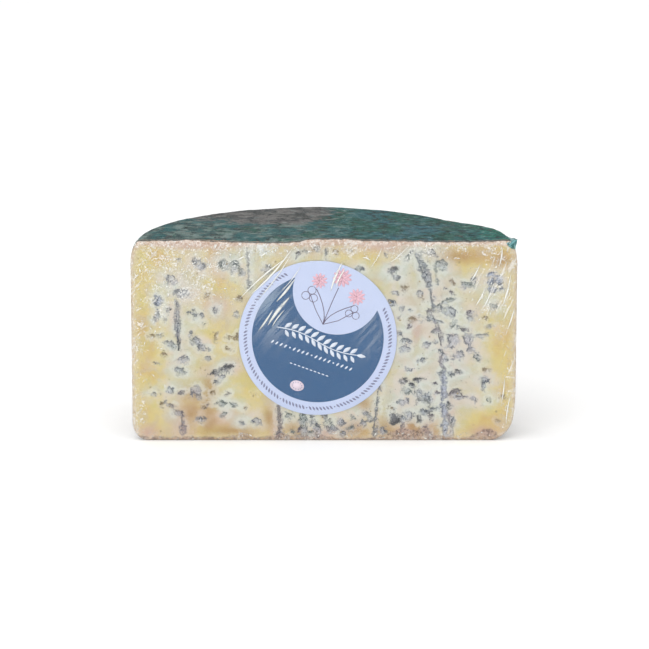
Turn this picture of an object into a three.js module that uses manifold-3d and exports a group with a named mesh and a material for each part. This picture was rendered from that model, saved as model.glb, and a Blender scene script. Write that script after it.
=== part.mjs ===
// Half of a natural-rind blue cheese wheel, cut straight across its diameter, with a round paper
// label lying on the cut face. Millimetres, +Z up. The half stands on the flat rind of its base,
// the cut face looks towards -Y and +X is to the right of it. The origin is the bottom centre of
// the box that holds the cheese and its label.

import * as THREE from "three";
import { mergeVertices } from "three/addons/utils/BufferGeometryUtils.js";
import Module from "manifold-3d";

// The wheel before it was cut.
const WHEEL_RADIUS = 100;
const WHEEL_HEIGHT = 106.5;
const WHEEL_SEGMENTS = 112;
const TOP_RIM = { inward: 5, down: 13 }; // the wall leans in over the last stretch below a crisp top edge
const BASE_RIM = { inward: 8, up: 10 };
const RIM_STEPS = 6;
const WALL_STEPS = 7;
const TOP_RINGS = [86, 74, 58, 36]; // radii of the rings that let the top face sink and swell

// How the wheel settled while it ripened.
const SHOULDER_SAG = 2.4; // the top rim has sunk most on the right, half way round to the back
const SHOULDER_ANGLE = THREE.MathUtils.degToRad(44); // from +X, counted towards the back
const SHOULDER_HALF_WIDTH = THREE.MathUtils.degToRad(30);
const BACK_SLACK = 0.9; // a gentler dip that runs on to the middle of the back
const BACK_SLACK_ANGLE = THREE.MathUtils.degToRad(72);
const BACK_SLACK_HALF_WIDTH = THREE.MathUtils.degToRad(24);
const SAG_REACH = 45; // how far in from the rim the top face sinks with it
const FOOT_TUCK = 1.6; // the right-hand wall leans in a little towards the base
const FOOT_TUCK_HEIGHT = 34;
const HEEL_WEAR = 4; // and the base rim below it is worn rounder
const HEEL_WEAR_HEIGHT = 18;
const WALL_SWELL = 0.7; // slow waves round the wall, left by the cloth-lined mould
const SWELL_WAVES = [5, 8];

// Channels that the ripening needles left, laid open by the knife: points across and above the base.
const NEEDLE_RADIUS = 1.5;
const NEEDLE_DEPTH = 0.9;
const NEEDLE_SIDES = 8;
const NEEDLE_CHANNELS = [
  [[-76, 85], [-75, 66], [-74.5, 48]],
  [[-39.5, 101], [-39, 84]],
  [[-75, 15], [-74.5, 4]],
  [[-23, 15], [-23.5, 3]],
  [[27, 28], [25.5, 7]],
  [[47, 101], [53.5, 88], [56, 75], [60, 57], [62.5, 41], [62, 22], [63, 3]],
];

// Pockets in the paste where the mould grew: across, above the base, width, height, turn in degrees.
const POCKET_DEPTH = 1.2;
const POCKETS = [
  [-64, 95, 7, 5, 20],
  [-45, 93, 8, 4.5, 0],
  [-60, 78, 3.5, 4.5, 0],
  [-64, 52, 4.5, 5, 30],
  [-52, 37.5, 11, 4.5, 18],
  [-67, 27, 7, 6, 0],
  [-51, 20, 8, 4, -12],
  [-75, 15.5, 5, 3.5, 10],
  [42, 81, 4, 5, 0],
  [37, 91, 5, 3.5, 0],
  [45, 65, 4.5, 4.5, 0],
  [48.5, 32, 6, 3.5, 15],
  [37, 11, 6, 6.5, 0],
  [73, 57, 5.5, 5, 35],
  [70, 84, 8, 3.5, 5],
  [90, 84, 8, 7.5, 0],
  [69, 25, 9, 4, -8],
  [82.5, 31, 4, 6.5, 0],
];

// The paper label.
const LABEL_RADIUS = 41;
const LABEL_THICKNESS = 0.3;
const LABEL_GAP = 0.3; // between the paper and the paste
const LABEL_CENTRE = { across: -3.2, up: 54.9 };
const LABEL_SEGMENTS = 96;

const MERGE_DISTANCE = 1e-4; // vertices nearer than this are one vertex

const wasm = await Module();
wasm.setup();

// A geometry's bare shape, with the vertices that its faces share merged.
function closedShape(geometry) {
  geometry.deleteAttribute("normal");
  geometry.deleteAttribute("uv");
  return mergeVertices(geometry, MERGE_DISTANCE);
}

// A closed geometry as a solid for the boolean cuts.
function solidOf(geometry) {
  const shape = closedShape(geometry);
  return new wasm.Manifold(
    new wasm.Mesh({
      numProp: 3,
      vertProperties: shape.attributes.position.array,
      triVerts: new Uint32Array(shape.index.array),
    }),
  );
}

// A solid back as a geometry.
function geometryOf(solid) {
  const mesh = solid.getMesh();
  const geometry = new THREE.BufferGeometry();
  geometry.setAttribute("position", new THREE.BufferAttribute(mesh.vertProperties, 3));
  geometry.setIndex(new THREE.BufferAttribute(mesh.triVerts, 1));
  geometry.computeVertexNormals();
  return geometry;
}

// A quarter turn of an ellipse, as points of the wheel's profile.
function rimArc(centreRadius, centreHeight, inward, tall, fromAngle) {
  const points = [];
  for (let step = 0; step <= RIM_STEPS; step++) {
    const angle = fromAngle + (Math.PI / 2) * (step / RIM_STEPS);
    points.push(
      new THREE.Vector2(
        centreRadius + inward * Math.cos(angle),
        centreHeight + tall * Math.sin(angle),
      ),
    );
  }
  return points;
}

// Half of the wheel's section, from the axis at the base round to the axis at the top.
function wheelProfile() {
  const wallBottom = BASE_RIM.up;
  const wallTop = WHEEL_HEIGHT - TOP_RIM.down;
  const baseRim = rimArc(
    WHEEL_RADIUS - BASE_RIM.inward, wallBottom, BASE_RIM.inward, BASE_RIM.up, -Math.PI / 2,
  );
  const topRim = rimArc(WHEEL_RADIUS - TOP_RIM.inward, wallTop, TOP_RIM.inward, TOP_RIM.down, 0);
  const wall = [];
  for (let step = 1; step < WALL_STEPS; step++) {
    const height = THREE.MathUtils.lerp(wallBottom, wallTop, step / WALL_STEPS);
    wall.push(new THREE.Vector2(WHEEL_RADIUS, height));
  }
  const topFace = TOP_RINGS.map((radius) => new THREE.Vector2(radius, WHEEL_HEIGHT));
  return [
    new THREE.Vector2(0, 0),
    ...baseRim,
    ...wall,
    ...topRim,
    ...topFace,
    new THREE.Vector2(0, WHEEL_HEIGHT),
  ];
}

// 1 at the middle of a hump and 0 from its half width outwards, with soft ends.
function hump(value, middle, halfWidth) {
  const away = Math.min(1, Math.abs(value - middle) / halfWidth);
  return 0.5 + 0.5 * Math.cos(Math.PI * away);
}

// Moves one point of the true wheel to where the ripened one has it.
function settle(point) {
  const angle = Math.atan2(point.y, point.x);
  const radius = Math.hypot(point.x, point.y);
  const height = point.z;
  if (radius === 0) return;

  const [slowWave, quickWave] = SWELL_WAVES;
  const swell =
    WALL_SWELL * Math.sin(angle) ** 2 *
    (0.6 * Math.sin(slowWave * angle) + 0.4 * Math.sin(quickWave * angle + height / 30));
  const rightward = Math.max(0, Math.cos(angle));
  const tuck = FOOT_TUCK * Math.max(0, 1 - height / FOOT_TUCK_HEIGHT) ** 2 * rightward;
  const wear = HEEL_WEAR * Math.max(0, 1 - height / HEEL_WEAR_HEIGHT) ** 2 * rightward ** 2;
  const scale = 1 + (swell - tuck - wear) / WHEEL_RADIUS;
  point.x *= scale;
  point.y *= scale;

  const sag =
    SHOULDER_SAG * hump(angle, SHOULDER_ANGLE, SHOULDER_HALF_WIDTH) +
    BACK_SLACK * hump(angle, BACK_SLACK_ANGLE, BACK_SLACK_HALF_WIDTH);
  const nearRim = THREE.MathUtils.smoothstep(radius, WHEEL_RADIUS - SAG_REACH, WHEEL_RADIUS);
  const nearTop = THREE.MathUtils.smoothstep(height, WHEEL_HEIGHT / 2, WHEEL_HEIGHT);
  point.z -= sag * nearRim * nearTop;
}

// The whole wheel, standing on z = 0 with its axis on the Z axis.
function wheel() {
  const lathe = new THREE.LatheGeometry(wheelProfile(), WHEEL_SEGMENTS);
  lathe.rotateX(Math.PI / 2);
  const shape = closedShape(lathe);
  const positions = shape.attributes.position;
  const point = new THREE.Vector3();
  for (let index = 0; index < positions.count; index++) {
    point.fromBufferAttribute(positions, index);
    if (Math.abs(point.z) < MERGE_DISTANCE) point.z = 0; // the turn leaves the base a hair off flat
    settle(point);
    positions.setXYZ(index, point.x, point.y, point.z);
  }
  return solidOf(shape);
}

// What the knife leaves: everything behind the plane y = 0.
function behindTheCut() {
  const side = 4 * WHEEL_RADIUS;
  const block = new THREE.BoxGeometry(side, side, side);
  block.translate(0, side / 2, 0);
  return solidOf(block);
}

// A needle channel: a rod along the points, sunk into the cut face by NEEDLE_DEPTH.
function needleChannel(points) {
  const sunk = NEEDLE_DEPTH - NEEDLE_RADIUS;
  const path = new THREE.CatmullRomCurve3(
    points.map(([across, up]) => new THREE.Vector3(across, sunk, up)),
  );
  const section = new THREE.Shape(
    new THREE.EllipseCurve(0, 0, NEEDLE_RADIUS, NEEDLE_RADIUS).getPoints(NEEDLE_SIDES).slice(1),
  );
  return solidOf(
    new THREE.ExtrudeGeometry(section, {
      steps: 4 * (points.length - 1),
      extrudePath: path,
    }),
  );
}

// A mould pocket: a flattened ball sunk into the cut face by POCKET_DEPTH.
function pocket([across, up, width, height, turn]) {
  const ball = new THREE.SphereGeometry(1, 12, 8);
  ball.scale(width / 2, POCKET_DEPTH, height / 2);
  ball.rotateY(THREE.MathUtils.degToRad(-turn));
  ball.translate(across, 0, up);
  return solidOf(ball);
}

function cheese() {
  let solid = wheel().intersect(behindTheCut());
  for (const channel of NEEDLE_CHANNELS) solid = solid.subtract(needleChannel(channel));
  for (const hollow of POCKETS) solid = solid.subtract(pocket(hollow));
  const mesh = new THREE.Mesh(
    geometryOf(solid),
    new THREE.MeshStandardMaterial({ color: 0xd8cba4, roughness: 0.5, metalness: 0 }),
  );
  mesh.name = "cheese";
  return mesh;
}

function label() {
  const mesh = new THREE.Mesh(
    new THREE.CylinderGeometry(LABEL_RADIUS, LABEL_RADIUS, LABEL_THICKNESS, LABEL_SEGMENTS),
    new THREE.MeshStandardMaterial({ color: 0x5a7795, roughness: 0.45, metalness: 0 }),
  );
  mesh.name = "label";
  mesh.position.set(LABEL_CENTRE.across, -LABEL_GAP - LABEL_THICKNESS / 2, LABEL_CENTRE.up);
  return mesh;
}

// The labelled half, moved so that the origin is the bottom centre of its box.
function halfWheel() {
  const half = new THREE.Group();
  half.add(cheese(), label());
  const box = new THREE.Box3().setFromObject(half, true);
  const centre = box.getCenter(new THREE.Vector3());
  half.position.set(-centre.x, -centre.y, -box.min.z);
  const part = new THREE.Group();
  part.add(half);
  return part;
}

export default halfWheel();
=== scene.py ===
# Half a wheel of natural-rind blue cheese: the veined cut face, the mouldy rind, a round paper label
# on the cut and the stretch film that wraps it all. Shapes are worked out in millimetres, with
# +X across the cut face, +Z up and -Y out of the face, and become metres when a piece is finished.

import math
import random
from collections import namedtuple

import bmesh
import bpy
import numpy as np
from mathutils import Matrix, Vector
from mathutils.noise import noise as swirl


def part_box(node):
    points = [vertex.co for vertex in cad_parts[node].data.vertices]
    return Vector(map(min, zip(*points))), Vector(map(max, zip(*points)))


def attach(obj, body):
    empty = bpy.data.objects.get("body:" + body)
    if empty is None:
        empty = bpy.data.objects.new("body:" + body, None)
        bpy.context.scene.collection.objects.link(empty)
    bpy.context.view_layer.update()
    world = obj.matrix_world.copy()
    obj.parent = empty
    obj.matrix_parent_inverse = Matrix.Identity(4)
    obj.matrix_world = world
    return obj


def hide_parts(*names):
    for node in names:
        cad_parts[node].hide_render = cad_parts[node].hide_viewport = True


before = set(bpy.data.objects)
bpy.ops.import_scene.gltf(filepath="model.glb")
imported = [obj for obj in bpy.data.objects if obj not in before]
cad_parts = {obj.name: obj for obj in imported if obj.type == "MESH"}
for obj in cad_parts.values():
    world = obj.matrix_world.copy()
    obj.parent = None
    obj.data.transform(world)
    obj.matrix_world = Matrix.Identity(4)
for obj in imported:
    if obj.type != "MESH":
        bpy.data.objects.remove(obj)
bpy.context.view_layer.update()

MM = 0.001
SAME = 1e-6  # nearer than this is the same place

# Driving sizes, read from the frame.
CHEESE_LOW, CHEESE_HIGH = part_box("cheese")
LABEL_LOW, LABEL_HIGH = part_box("label")
CUT = CHEESE_LOW.y / MM  # where the knife went
RADIUS = (CHEESE_HIGH.x - CHEESE_LOW.x) / 2 / MM  # of the wheel
HEIGHT = CHEESE_HIGH.z / MM
LABEL_RADIUS = (LABEL_HIGH.x - LABEL_LOW.x) / 2 / MM
LABEL_ACROSS = (LABEL_HIGH.x + LABEL_LOW.x) / 2 / MM
LABEL_UP = (LABEL_HIGH.z + LABEL_LOW.z) / 2 / MM
LABEL_PROUD = CUT - LABEL_LOW.y / MM  # how far the paper's front stands off the cut
LABEL_THICKNESS = (LABEL_HIGH.y - LABEL_LOW.y) / MM

# The wheel's side, and how it settled while it ripened.
TOP_RIM_INWARD, TOP_RIM_DOWN = 5, 13
BASE_RIM_INWARD, BASE_RIM_UP = 8, 10
SHOULDER_SAG, SHOULDER_ANGLE, SHOULDER_HALF_WIDTH = 2.4, math.radians(44), math.radians(30)
BACK_SLACK, BACK_SLACK_ANGLE, BACK_SLACK_HALF_WIDTH = 0.9, math.radians(72), math.radians(24)
SAG_REACH = 45
FOOT_TUCK, FOOT_TUCK_HEIGHT = 1.6, 34
HEEL_WEAR, HEEL_WEAR_HEIGHT = 4, 18
WALL_SWELL, SLOW_WAVE, QUICK_WAVE = 0.7, 5, 8
OUTLINE_STEPS = 400

# The cheese's surface.
CHEESE_CELL, CHEESE_DEPTH_CELL = 1.0, 2.5  # its mesh cells on the cut, and from the cut backwards
CHEESE_LIFT = 0.3  # the film under the base
CUT_EDGE_ROUND = 0.8
PIT_DEPTH, PASTE_GRAIN = 0.5, 0.12
RIND_RELIEF, CROWN_CRUMBLE = 0.55, 0.3
RIND_INSET = 0.15  # how much of the solid's skin is film and the air under it
STAIN_STRENGTH = 0.8

# The film.
FILM_CELL, FILM_DEPTH_CELL = 1.25, 1.4
FILM_GAP = 0.45
FILM_SKIN = 0.1  # the gap on the rind, which lies deeper
FILM_FLOOR = 0.05
FILM_TENT, FILM_TENT_REACH = 0.45, 6  # more gap where the film is lifted over the label
CRINKLE_HEIGHT, FOLD_HEIGHT = 0.22, 0.8
FOLD_SEED = 12
FOLD_COUNT, FOLD_SWAY = 30, 2.5  # bundles of long folds on the wall
TOP_FOLD_COUNT, TOP_FOLD_SWAY, TOP_FOLD_SHARE = 16, 1.5, 0.4  # folds on the top, which stand less high
# Where the film's loose end is laid over the wall: it climbs from its middle and sways.
LAP_UP, LAP_CLIMB, LAP_MIDDLE, LAP_SWAY = 42, 0.12, 160, 1.5
LAP_SHARE, LAP_HALF_WIDTH = 0.75, 1.6

# The mould's looks: how dark the inside of a pocket is, from an open ring to a solid patch, how pale
# the paste round it has turned, how much of what lies under it the growth's wash covers, how dark the
# fine trace along a channel is, and the tint in screen values. A number that no growth needs is 0.
Look = namedtuple("Look", "fill halo cover trace tint")
LOOKS = {
    "slate": Look(0.6, 0.9, 0.65, 0.8, (88, 104, 124)),
    "blue": Look(0.75, 0.7, 0.95, 0, (104, 126, 158)),
    "black": Look(1.0, 1.0, 0.7, 1.0, (54, 60, 74)),
    "green": Look(0.45, 0.9, 0.6, 0.3, (100, 122, 118)),
    "ring": Look(0.1, 0.9, 0.55, 0.4, (96, 104, 130)),
    "plum": Look(0.7, 0.7, 0.6, 0.8, (104, 90, 112)),
    "grey": Look(0.35, 0.5, 0.6, 0.55, (136, 142, 148)),
    "olive": Look(0.8, 0.3, 0.6, 0, (170, 134, 48)),
    "lavender": Look(0, 0, 0.9, 0.8, (122, 132, 162)),
}
HALO_REACH = 6.0
# Each pocket's dark side is painted shade, mostly on its upper side, with denser mould there too.
SIDE_SEED = 3  # which side of each pocket is the dark one
NO_MOULD = 20  # the distance to the nearest growth that the rind is given
FAR = 99.0

# Mould pockets that stand out on the cut, by their look: across and up, width and height, and a turn
# in degrees where there is one.
POCKETS = {
    "slate": [
        (-73.5, 78.5, 7.5, 4.5), (-66, 95.5, 4, 3.5), (-63.5, 92.8, 5.5, 3.5, -25),
        (-60.5, 93.5, 3, 1.5, 20), (-80.5, 84, 2, 3), (-86.5, 67, 2.5, 5, -20), (-82.5, 64.5, 2, 3, -30),
        (-66.5, 66, 3.5, 3), (-63, 66.5, 2, 2), (-66, 53.5, 4.5, 3, -40), (-63.5, 50, 3.5, 3, -30),
        (-75, 37.5, 6, 4, -30), (-55.5, 31.5, 2, 1.5), (-80, 27, 4, 3.5), (-88.5, 25, 2.5, 2),
        (-64, 11.5, 4, 3, 10), (-43, 9.5, 3.5, 2.5, 20), (18.5, 91.5, 4.5, 2.5, -10), (37.5, 87, 3, 2),
        (57.5, 99, 2.5, 2), (78, 86, 2.5, 2, 30), (35.5, 73.5, 3.5, 2.5), (57, 64.5, 8.5, 1.5, -20),
        (38.5, 57.5, 4, 2), (41.5, 53.5, 2, 2), (44.5, 52.5, 2, 3), (61.5, 46.5, 6, 2, -45),
        (63, 43.5, 3, 2.5), (50.5, 43, 4, 2, 20), (66, 36, 3, 2.5), (60, 36, 2, 2), (50, 25.5, 3, 2, -30),
        (52, 23.5, 8.5, 2.5, -5), (55.5, 22, 3, 3.5), (83.5, 32.5, 5, 3), (83, 29.5, 2, 4),
        (41.5, 12, 3, 3), (52, 15, 4.5, 3.5), (57.5, 16.5, 6, 2, 10), (67.5, 10.5, 2, 4.5),
        (-6, 12, 3, 4.5), (-10.5, 5.5, 4.5, 5), (0, 13, 3.5, 2.5), (2.5, 10.5, 3, 3, -30),
        (22, 14.5, 4.5, 3, -20), (20.5, 9, 3, 3), (-3.5, 6.5, 4, 5, 20), (4.5, 6, 4.5, 4, -30),
        (9, 9.5, 4, 4.5), (9.5, 3.5, 4, 3), (31, 5, 3, 3.5),
    ],
    "blue": [
        (86.3, 85.5, 3.5, 4.5), (90.5, 85, 3.5, 5, 10), (87.5, 80.8, 4.5, 3), (91.5, 81, 2, 2.5),
        (86.5, 88.8, 4.5, 1.5, 20), (-86, 74.5, 4.5, 6),
    ],
    "black": [
        (-80, 70.5, 3, 2, 40), (-56.5, 36.5, 5, 2.5, 10), (-51, 38.5, 6.5, 4, 18),
        (-13.5, 99.5, 3.5, 2, 40), (36, 91, 5.5, 3, 10), (69.5, 37, 4.5, 2, -15), (41.5, 32, 3.5, 2, 15),
        (49, 32.5, 5, 2.5, 10), (46.5, 29.5, 4.5, 2.5, -40), (50, 22, 3, 2.5), (37, 11.5, 5.5, 6),
        (49.5, 12.5, 2.5, 3),
    ],
    "green": [
        (-51.5, 93.5, 5.5, 5), (-46, 92.5, 5.5, 6), (-42.5, 89.5, 3.5, 4.5, 20), (-53, 19.5, 4.5, 3.5, -25),
        (-47, 19.5, 4, 2, -10), (-52, 14, 3, 2.5, -30), (60.5, 93.5, 6, 5.5), (74, 83, 5, 2.5, -10),
        (64, 74.5, 6.5, 2.5, 15), (59.5, 71, 2.5, 3), (88, 71.5, 4, 3.5, -50), (79.5, 45, 4.5, 3.5, -30),
        (43, 26.5, 5.5, 3), (85.5, 22, 2.5, 3), (-18, 13, 4.5, 4.5, 20), (-10.5, 10.5, 4.5, 4.5),
        (-3, 102, 3.5, 3), (14.5, 6, 4.5, 4, 15), (-6.5, 3, 4, 3), (15, 12, 3, 3),
    ],
    "ring": [
        (-79, 85.5, 6.5, 5, -30), (-73.5, 43, 6.5, 4.5, 20), (-54, 34, 3, 3), (-66.5, 27, 5.5, 5),
        (-35, 9.5, 5, 5, -40), (65.5, 68.5, 6, 5), (75, 54.5, 6.5, 5.5, -40), (67.5, 54, 7, 5.5),
        (42, 49, 4.5, 3.5, 20), (65, 50.5, 3.5, 3), (76.5, 48.5, 4, 3.5), (70.5, 46, 5, 4),
        (78, 22, 5, 3, -20), (44.5, 13.5, 5, 5), (53.5, 51, 3.5, 4),
    ],
    "plum": [
        (-74, 26, 4, 2.5, 15), (-80, 19, 4, 2.5, -10), (-75.5, 14.5, 5, 3, 10), (75.5, 68, 3.5, 3.5),
        (59.5, 58.5, 4.5, 3, -20), (61, 55, 3, 5, 10), (74, 59.5, 5, 2.5, -20), (56, 12.5, 3, 4.5),
        (68.5, 25, 6, 4, 20), (70.5, 23, 7.5, 2.5, 5), (-11, 2, 6, 2.2, 5), (-4, 2.2, 5, 2.2, -5),
        (-23, 4, 3, 5),
    ],
    "grey": [
        (-74.5, 96.5, 3, 3), (-45.5, 68, 3.5, 3), (-85, 56, 3.5, 3), (-80.5, 51.5, 5, 3),
        (-60.5, 44, 3.5, 2), (-64.5, 23.5, 2.5, 2.5), (-29, 91, 4.5, 4.5), (49, 78.5, 2.5, 2),
        (41, 70.5, 3, 3), (76.5, 65.5, 4, 3.5), (82, 56, 4, 2.5), (85.5, 61, 5, 2), (24, 12, 4, 3.5),
        (3, 4.5, 4, 2), (32, 99, 2, 2.5),
    ],
    "olive": [
        (-60.5, 77, 2.5, 3), (-44, 76, 3, 2.5), (-89.5, 56, 2.5, 2), (-56, 56, 2.5, 3.5, 20),
        (-48.5, 55, 4.5, 2), (-44.5, 55.5, 2, 3.5), (-83, 46, 2.5, 2), (-49.5, 49, 3, 2, -20),
        (-84.5, 19, 2, 2.5), (42, 81, 3, 3.5), (66.5, 84.5, 2.5, 2.5), (45, 64.5, 4.5, 2.5, 10),
        (84, 65.5, 2.5, 2), (84.5, 38, 4, 2.5), (93.5, 23.5, 2.5, 2.5), (91, 10.5, 2.5, 2.5, 20),
        (-41, 17.5, 1.5, 1.5), (-36, 25, 1.5, 1.5), (35.5, 17, 1.5, 1.5), (51, 75, 2, 2),
    ],
}

# Needle channels, from top to bottom: the mould's look, its fill, and points across, up and width.
CHANNELS = [
    ("ring", 0.55, [(-76.3, 75, 1), (-76, 67, 3.4), (-75.6, 60, 3.4), (-75.4, 54, 1.4)]),
    ("black", 1.0, [(-75.8, 60, 0.6), (-75.5, 54, 1), (-75, 48, 0.5)]),
    ("grey", 0.5, [(-39.5, 103, 0.2), (-39, 91, 0.6), (-38.5, 81, 0.6)]),
    ("plum", 0.3, [(-73.5, 13, 1.5), (-73.5, 4, 2)]),
    ("plum", 0.9, [(-23.5, 18, 1.6), (-22.5, 2, 2.2)]),
    ("green", 0.3, [(-10.5, 14, 2.5), (-10.5, 2, 3)]),
    ("slate", 0.5, [(29, 30, 0.6), (28, 21, 0.8), (27, 13, 1), (26.3, 2, 1)]),
    ("slate", 0.5, [(47.5, 100, 1.4), (50.5, 94, 3), (53, 88, 4.4), (54.5, 83, 3)]),
    ("green", 0.3, [(57.5, 93, 1), (59, 83, 0.8)]),
    ("slate", 0.7, [(54.5, 82, 0.3), (57, 69, 0.3)]),
    ("plum", 0.3, [(57, 66, 0.4), (60, 57, 1), (62, 47, 0.6), (60.5, 42, 0.4), (63, 38, 0.6)]),
    ("lavender", 0.3, [(62.5, 37, 1), (62.2, 30, 1.6), (62.2, 22, 2), (62.8, 14, 2.8), (63.2, 2, 3.6)]),
    ("grey", 0.2, [(65.6, 14, 1), (67, 8, 2), (66.6, 2, 2)]),
    ("plum", 0.4, [(41, 9, 1), (41, 2, 1.4)]),
    ("plum", 0.2, [(53.5, 8, 1.4), (54, 2, 1.8)]),
    ("slate", 0.6, [(1, 102, 0.4), (1, 97, 0.2)]),
]
CHANNEL_HALO, CHANNEL_SHADE = 0.8, 0.2
# The fine dark trace along a channel: how far to its left in half widths, and how far it is felt.
TRACE_SHIFT, TRACE_REACH, TRACE_FAR = 0.8, 6, 9.0

# Loose small growth, seeded: the middle and spread of each region, how many, and the looks found.
SCATTERS = [
    (-66, 60, 22, 34, 9, ["slate", "grey", "olive", "green"]),
    (-60, 20, 26, 14, 6, ["slate", "plum", "grey", "olive"]),
    (47, 99, 16, 4, 7, ["slate", "grey", "green"]),
    (56, 66, 20, 30, 20, ["slate", "ring", "green", "grey", "plum"]),
    (54, 22, 24, 16, 18, ["slate", "black", "ring", "plum"]),
    (2, 101, 34, 5, 8, ["grey", "olive", "green"]),
    (4, 8, 30, 6, 14, ["slate", "green", "plum"]),
]
SCATTER_SEED = 7

# Where the paste is yellower (above 0) or paler and greyer (below 0): how much, across, up, width and
# height.
TONES = [
    (0.8, -92, 50, 18, 90), (0.45, -60, 62, 24, 30), (0.5, -40, 30, 30, 26), (0.8, 80, 99, 34, 12),
    (0.7, 93, 45, 16, 80), (0.45, 74, 8, 44, 14), (0.5, -6, 100, 40, 10), (0.5, 24, 97, 14, 12),
    (0.3, -20, 10, 26, 14), (0.4, 15, 8, 14, 14), (-0.6, 46, 58, 22, 64), (-0.5, 62, 30, 30, 34),
    (-0.15, -52, 34, 20, 12), (-0.3, -46, 16, 18, 12), (-0.3, -74, 74, 16, 34), (0.5, -70, 97, 20, 8),
    (0.4, -62, 18, 14, 30), (0.9, -54, 94, 9, 14), (0.6, -52, 8, 30, 10), (0.9, 15, 4, 26, 9),
    (1.0, 46, 3, 26, 9), (0.6, 0, 2, 110, 6), (0.6, -84, 98, 10, 8), (0.8, -55, 99, 10, 9),
    (0.4, -50, 85, 12, 10), (0.5, -57, 34, 10, 8), (0.5, -68, 16, 12, 12), (0.4, 84, 12, 14, 10),
]

# Stains by hue: across, up, width and height.
STAINS = {
    "pink": [
        (-73.5, 9, 9, 18), (0, 4, 16, 6), (-52, 12, 16, 8), (-56, 72, 10, 10), (-25, 8, 6, 16),
        (43, 5, 12, 12), (54, 6, 8, 12), (66, 12, 3, 22), (28, 104, 26, 6), (-66, 104, 40, 4),
        (84, 4, 14, 6), (-92, 4, 12, 7), (-48, 40, 8, 6), (48, 60, 5, 12),
    ],
    "brown": [
        (-60, 28, 7, 18), (-60.5, 12, 8, 18), (-66, 24, 12, 9), (-61, 22, 6, 20), (-69, 15, 9, 10),
        (-48, 5, 22, 5), (17, 6, 10, 8), (32, 7, 9, 8), (-16, 6, 7, 7), (-40, 58, 3, 22), (-29, 12, 5, 10),
        (52, 4, 14, 8), (-8, 103, 12, 6), (5, 106, 10, 4), (21, 19, 6, 6), (46, 8, 4, 8), (-15, 5, 10, 6),
        (92, 96, 9, 5), (68, 98, 20, 6),
    ],
}

# How far the crust's edge stands above or below the crown along the cut: across and up.
CROWN_EDGE = [
    (-94, 0.3), (-82, 0.3), (-72, 0.7), (-62, 0.2), (-48, -0.4), (-36, -0.7), (-20, -0.9), (-13, -0.1),
    (-7, 0.9), (4, 1.2), (13, 1), (20, 0.3), (34, 0.1), (60, -0.2), (76, -0.2), (92, 0.3),
]

# How far up the crust's foot shows along the base of the cut: across and up.
FOOT_CRUST = [
    (-100, 3.2), (-90, 2.4), (-80, 1.8), (-66, 2.4), (-54, 1.8), (-48, 2.8), (-43, 4.5), (-36, 2),
    (-26, 3.2), (-22, 4.4), (-17, 2.4), (-12, 3.2), (0, 3), (5, 1.6), (24, 1.6), (31, 3.5), (36, 5),
    (40, 7), (46, 6), (53, 7), (58, 2.6), (68, 1.6), (75, 2), (80, 4.5), (87, 7), (92, 3), (100, 2.5),
]

# Creases in the film, whose highlights are painted white on strips: from and to across and up, widest
# width, and bow.
CREASES = [
    (-16.5, 102, -38.5, 77.5, 0.9, 1.2), (-17, 99, -34, 75.5, 0.6, 0.8), (-18.5, 98, -43.5, 76, 0.8, -1),
    (-12, 93, -22, 80, 0.5, 0.6), (-15, 86.5, -24.5, 74.5, 1.2, 0.4), (-18, 76.5, -29, 62, 1.5, -0.5),
    (-26.5, 70, -34, 59, 0.9, 0.3), (-20.5, 70, -27, 61, 0.6, -0.4), (9.5, 95, 3.5, 80, 1.2, -0.6),
    (11, 92, 6, 82, 0.8, -0.4), (-30, 100, -33, 98.5, 0.8, 0.2), (-41, 98.5, -44.5, 96.5, 0.8, 0.2),
    (20, 97.5, 24, 96, 0.7, 0.6), (80.5, 94, 75.5, 84.5, 0.8, 0.4), (83.5, 81.5, 78.5, 72, 0.8, 0.3),
    (86, 79, 82.5, 71, 0.6, 0.3), (92, 102.5, 90.5, 93, 0.8, 0.3), (96.5, 88.5, 92.5, 72, 1.0, 0.5),
    (98.5, 71, 95.5, 60.5, 0.7, 0.3), (44, 104, 33, 94, 0.5, 0.5), (30, 103, 24, 92, 0.5, 0.5),
    (94, 34, 92.5, 20, 0.6, 0.3), (97, 24, 95, 8, 0.6, -0.4),
]
CREASE_THICKNESS, CREASE_SUNK = 0.12, 0.05
# Small glints in the film, painted as short white strips, seeded: middle, spread, how many, the lean of
# their run and its spread.
GLINTS = [
    (-72, 90, 30, 16, 70, 50, 50),
    (-90, 60, 10, 30, 24, 80, 40),
    (-30, 102, 50, 5, 40, 20, 60),
    (60, 100, 40, 6, 24, 60, 40),
    (84, 84, 14, 24, 22, 66, 12),
    (0, 3, 98, 2, 24, 5, 40),
]
GLINT_THICKNESS, GLINT_SEED = 0.1, 21

# The film's gathered corner: points across, behind the cut and up, along its root on the rim and along
# its free edge.
EAR_ROOT = [
    (87, 44, 103.6), (92, 26, 104), (93.6, 10, 104.5), (94, 0, 105.3), (94.6, -0.4, 104),
    (96.6, -0.4, 102.4),
]
EAR_EDGE = [
    (88, 44, 103.8), (93.6, 26, 104.4), (97.6, 10, 105.8), (99.8, 0, 107.4), (99.2, -0.6, 104.7),
    (98.7, -0.6, 102.2),
]
EAR_THICKNESS = 0.15

# The label's print. Its lines climb to the left by this many degrees.
PRINT_TILT = 20
DARK_FIELD_RADIUS = 34.2
PALE_FIELD_RADIUS = 23
PALE_FIELD_ACROSS, PALE_FIELD_UP = 1, 26.9
PRINT_THICKNESS, PRINT_EDGE = 0.04, 0.12
PRINT_SEGMENTS = 16
PAPER_RIPPLE = 0.12
LABEL_SEGMENTS, LABEL_RINGS = 144, 9
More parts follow.
